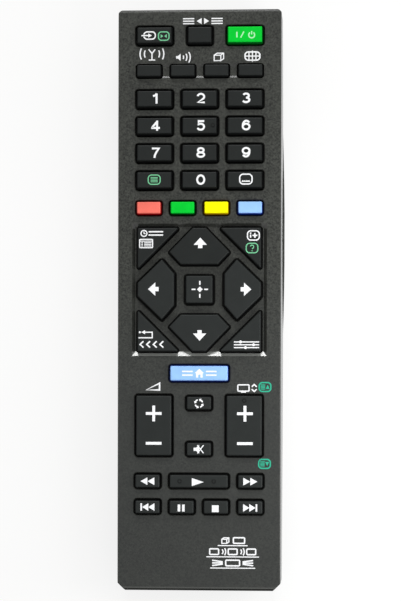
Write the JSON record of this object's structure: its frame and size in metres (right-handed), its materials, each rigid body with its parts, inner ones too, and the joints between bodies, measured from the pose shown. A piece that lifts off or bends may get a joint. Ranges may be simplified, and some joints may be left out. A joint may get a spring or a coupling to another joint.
{
  "type": "tv remote control",
  "caption": "Handheld infrared television remote: flat rubber-key face with digit keys, direction pad, rockers and playback keys, snap-together casing and sliding battery cover.",
  "frame": {"origin": "on the surface that the remote lies on, under the middle of its casing", "axes": "+X to the right of someone looking at the keys, +Y towards the head with the infrared lamp, +Z out of the key face"},
  "size_m": [0.0514, 0.1768, 0.0205],
  "materials": {
    "casing": "fine grain",
    "key_rubber": "satin",
    "key_green_rubber": "satin",
    "key_red_rubber": "satin",
    "key_yellow_rubber": "satin",
    "key_blue_rubber": "satin",
    "sheet_rubber": "matte",
    "board": "laminate",
    "lamp": "clear tinted",
    "chip": "moulded",
    "can": "sleeve",
    "ceramic": "dipped",
    "cell": "printed sleeve",
    "contact": "nickel plated spring steel"
  },
  "bodies": {
    "housing": {"front_cover": "casing", "rear_cover": "casing", "keypad_sheet": "sheet_rubber", "circuit_board": "board", "ir_led": "lamp", "microcontroller": "chip", "capacitor": "can", "resonator": "ceramic", "driver_transistor": "chip", "chip_resistors": "chip", "battery_1": "cell", "battery_2": "cell", "contact_bridge": "contact", "contact_positive": "contact", "contact_negative": "contact"},
    "battery_cover": {"battery_cover": "casing"},
    "rocker_volume": {"rocker_volume": "key_rubber"},
    "rocker_channel": {"rocker_channel": "key_rubber"},
    "key_5": {"key_5": "key_rubber"},
    "key_power": {"key_power": "key_green_rubber"},
    "key_up": {"key_up": "key_rubber"},
    "key_guide": {"key_guide": "key_rubber"},
    "key_home": {"key_home": "key_blue_rubber"},
    "key_red": {"key_red": "key_red_rubber"},
    "key_select": {"key_select": "key_rubber"},
    "key_play": {"key_play": "key_rubber"},
    "key_source": {"key_source": "key_rubber"},
    "key_mute": {"key_mute": "key_rubber"},
    "key_1": {"key_1": "key_rubber"},
    "key_menu": {"key_menu": "key_rubber"},
    "key_tuner": {"key_tuner": "key_rubber"},
    "key_sound": {"key_sound": "key_rubber"},
    "key_depth": {"key_depth": "key_rubber"},
    "key_wide": {"key_wide": "key_rubber"},
    "key_2": {"key_2": "key_rubber"},
    "key_3": {"key_3": "key_rubber"},
    "key_4": {"key_4": "key_rubber"},
    "key_6": {"key_6": "key_rubber"},
    "key_7": {"key_7": "key_rubber"},
    "key_8": {"key_8": "key_rubber"},
    "key_9": {"key_9": "key_rubber"},
    "key_text": {"key_text": "key_rubber"},
    "key_0": {"key_0": "key_rubber"},
    "key_subtitle": {"key_subtitle": "key_rubber"},
    "key_green": {"key_green": "key_green_rubber"},
    "key_yellow": {"key_yellow": "key_yellow_rubber"},
    "key_blue": {"key_blue": "key_blue_rubber"},
    "key_info": {"key_info": "key_rubber"},
    "key_return": {"key_return": "key_rubber"},
    "key_options": {"key_options": "key_rubber"},
    "key_left": {"key_left": "key_rubber"},
    "key_right": {"key_right": "key_rubber"},
    "key_down": {"key_down": "key_rubber"},
    "key_jump": {"key_jump": "key_rubber"},
    "key_rewind": {"key_rewind": "key_rubber"},
    "key_forward": {"key_forward": "key_rubber"},
    "key_previous": {"key_previous": "key_rubber"},
    "key_pause": {"key_pause": "key_rubber"},
    "key_stop": {"key_stop": "key_rubber"},
    "key_next": {"key_next": "key_rubber"}
  },
  "joints": [
    {"name": "battery_cover_slide", "type": "slide", "parent": "housing", "child": "battery_cover", "axis": [0, -1, 0], "range_m": [0, 0.072]},
    {"name": "rocker_volume_tilt", "type": "hinge", "parent": "housing", "child": "rocker_volume", "pos_m": [-0.01365, -0.038, 0.01603], "axis": [1, 0, 0], "range_deg": [-3, 3], "stiffness_Nm_per_rad": 0.12},
    {"name": "rocker_channel_tilt", "type": "hinge", "parent": "housing", "child": "rocker_channel", "pos_m": [0.01365, -0.038, 0.01603], "axis": [1, 0, 0], "range_deg": [-3, 3], "stiffness_Nm_per_rad": 0.12},
    {"name": "key_5_press", "type": "slide", "parent": "housing", "child": "key_5", "axis": [0, 0, -1], "range_m": [0, 0.0008], "stiffness_N_per_m": 1000},
    {"name": "key_power_press", "type": "slide", "parent": "housing", "child": "key_power", "axis": [0, 0, -1], "range_m": [0, 0.0008], "stiffness_N_per_m": 1000},
    {"name": "key_up_press", "type": "slide", "parent": "housing", "child": "key_up", "axis": [0, 0, -1], "range_m": [0, 0.0008], "stiffness_N_per_m": 1000},
    {"name": "key_guide_press", "type": "slide", "parent": "housing", "child": "key_guide", "axis": [0, 0, -1], "range_m": [0, 0.0008], "stiffness_N_per_m": 1000},
    {"name": "key_home_press", "type": "slide", "parent": "housing", "child": "key_home", "axis": [0, 0, -1], "range_m": [0, 0.0008], "stiffness_N_per_m": 1000},
    {"name": "key_red_press", "type": "slide", "parent": "housing", "child": "key_red", "axis": [0, 0, -1], "range_m": [0, 0.0008], "stiffness_N_per_m": 1000},
    {"name": "key_select_press", "type": "slide", "parent": "housing", "child": "key_select", "axis": [0, 0, -1], "range_m": [0, 0.0008], "stiffness_N_per_m": 1000},
    {"name": "key_play_press", "type": "slide", "parent": "housing", "child": "key_play", "axis": [0, 0, -1], "range_m": [0, 0.0008], "stiffness_N_per_m": 1000},
    {"name": "key_source_press", "type": "slide", "parent": "housing", "child": "key_source", "axis": [0, 0, -1], "range_m": [0, 0.0008], "stiffness_N_per_m": 1000},
    {"name": "key_mute_press", "type": "slide", "parent": "housing", "child": "key_mute", "axis": [0, 0, -1], "range_m": [0, 0.0008], "stiffness_N_per_m": 1000},
    {"name": "key_1_press", "type": "slide", "parent": "housing", "child": "key_1", "axis": [0, 0, -1], "range_m": [0, 0.0008], "stiffness_N_per_m": 1000},
    {"name": "key_menu_press", "type": "slide", "parent": "housing", "child": "key_menu", "axis": [0, 0, -1], "range_m": [0, 0.0008], "stiffness_N_per_m": 1000},
    {"name": "key_tuner_press", "type": "slide", "parent": "housing", "child": "key_tuner", "axis": [0, 0, -1], "range_m": [0, 0.0008], "stiffness_N_per_m": 1000},
    {"name": "key_sound_press", "type": "slide", "parent": "housing", "child": "key_sound", "axis": [0, 0, -1], "range_m": [0, 0.0008], "stiffness_N_per_m": 1000},
    {"name": "key_depth_press", "type": "slide", "parent": "housing", "child": "key_depth", "axis": [0, 0, -1], "range_m": [0, 0.0008], "stiffness_N_per_m": 1000},
    {"name": "key_wide_press", "type": "slide", "parent": "housing", "child": "key_wide", "axis": [0, 0, -1], "range_m": [0, 0.0008], "stiffness_N_per_m": 1000},
    {"name": "key_2_press", "type": "slide", "parent": "housing", "child": "key_2", "axis": [0, 0, -1], "range_m": [0, 0.0008], "stiffness_N_per_m": 1000},
    {"name": "key_3_press", "type": "slide", "parent": "housing", "child": "key_3", "axis": [0, 0, -1], "range_m": [0, 0.0008], "stiffness_N_per_m": 1000},
    {"name": "key_4_press", "type": "slide", "parent": "housing", "child": "key_4", "axis": [0, 0, -1], "range_m": [0, 0.0008], "stiffness_N_per_m": 1000},
    {"name": "key_6_press", "type": "slide", "parent": "housing", "child": "key_6", "axis": [0, 0, -1], "range_m": [0, 0.0008], "stiffness_N_per_m": 1000},
    {"name": "key_7_press", "type": "slide", "parent": "housing", "child": "key_7", "axis": [0, 0, -1], "range_m": [0, 0.0008], "stiffness_N_per_m": 1000},
    {"name": "key_8_press", "type": "slide", "parent": "housing", "child": "key_8", "axis": [0, 0, -1], "range_m": [0, 0.0008], "stiffness_N_per_m": 1000},
    {"name": "key_9_press", "type": "slide", "parent": "housing", "child": "key_9", "axis": [0, 0, -1], "range_m": [0, 0.0008], "stiffness_N_per_m": 1000},
    {"name": "key_text_press", "type": "slide", "parent": "housing", "child": "key_text", "axis": [0, 0, -1], "range_m": [0, 0.0008], "stiffness_N_per_m": 1000},
    {"name": "key_0_press", "type": "slide", "parent": "housing", "child": "key_0", "axis": [0, 0, -1], "range_m": [0, 0.0008], "stiffness_N_per_m": 1000},
    {"name": "key_subtitle_press", "type": "slide", "parent": "housing", "child": "key_subtitle", "axis": [0, 0, -1], "range_m": [0, 0.0008], "stiffness_N_per_m": 1000},
    {"name": "key_green_press", "type": "slide", "parent": "housing", "child": "key_green", "axis": [0, 0, -1], "range_m": [0, 0.0008], "stiffness_N_per_m": 1000},
    {"name": "key_yellow_press", "type": "slide", "parent": "housing", "child": "key_yellow", "axis": [0, 0, -1], "range_m": [0, 0.0008], "stiffness_N_per_m": 1000},
    {"name": "key_blue_press", "type": "slide", "parent": "housing", "child": "key_blue", "axis": [0, 0, -1], "range_m": [0, 0.0008], "stiffness_N_per_m": 1000},
    {"name": "key_info_press", "type": "slide", "parent": "housing", "child": "key_info", "axis": [0, 0, -1], "range_m": [0, 0.0008], "stiffness_N_per_m": 1000},
    {"name": "key_return_press", "type": "slide", "parent": "housing", "child": "key_return", "axis": [0, 0, -1], "range_m": [0, 0.0008], "stiffness_N_per_m": 1000},
    {"name": "key_options_press", "type": "slide", "parent": "housing", "child": "key_options", "axis": [0, 0, -1], "range_m": [0, 0.0008], "stiffness_N_per_m": 1000},
    {"name": "key_left_press", "type": "slide", "parent": "housing", "child": "key_left", "axis": [0, 0, -1], "range_m": [0, 0.0008], "stiffness_N_per_m": 1000},
    {"name": "key_right_press", "type": "slide", "parent": "housing", "child": "key_right", "axis": [0, 0, -1], "range_m": [0, 0.0008], "stiffness_N_per_m": 1000},
    {"name": "key_down_press", "type": "slide", "parent": "housing", "child": "key_down", "axis": [0, 0, -1], "range_m": [0, 0.0008], "stiffness_N_per_m": 1000},
    {"name": "key_jump_press", "type": "slide", "parent": "housing", "child": "key_jump", "axis": [0, 0, -1], "range_m": [0, 0.0008], "stiffness_N_per_m": 1000},
    {"name": "key_rewind_press", "type": "slide", "parent": "housing", "child": "key_rewind", "axis": [0, 0, -1], "range_m": [0, 0.0008], "stiffness_N_per_m": 1000},
    {"name": "key_forward_press", "type": "slide", "parent": "housing", "child": "key_forward", "axis": [0, 0, -1], "range_m": [0, 0.0008], "stiffness_N_per_m": 1000},
    {"name": "key_previous_press", "type": "slide", "parent": "housing", "child": "key_previous", "axis": [0, 0, -1], "range_m": [0, 0.0008], "stiffness_N_per_m": 1000},
    {"name": "key_pause_press", "type": "slide", "parent": "housing", "child": "key_pause", "axis": [0, 0, -1], "range_m": [0, 0.0008], "stiffness_N_per_m": 1000},
    {"name": "key_stop_press", "type": "slide", "parent": "housing", "child": "key_stop", "axis": [0, 0, -1], "range_m": [0, 0.0008], "stiffness_N_per_m": 1000},
    {"name": "key_next_press", "type": "slide", "parent": "housing", "child": "key_next", "axis": [0, 0, -1], "range_m": [0, 0.0008], "stiffness_N_per_m": 1000}
  ]
}
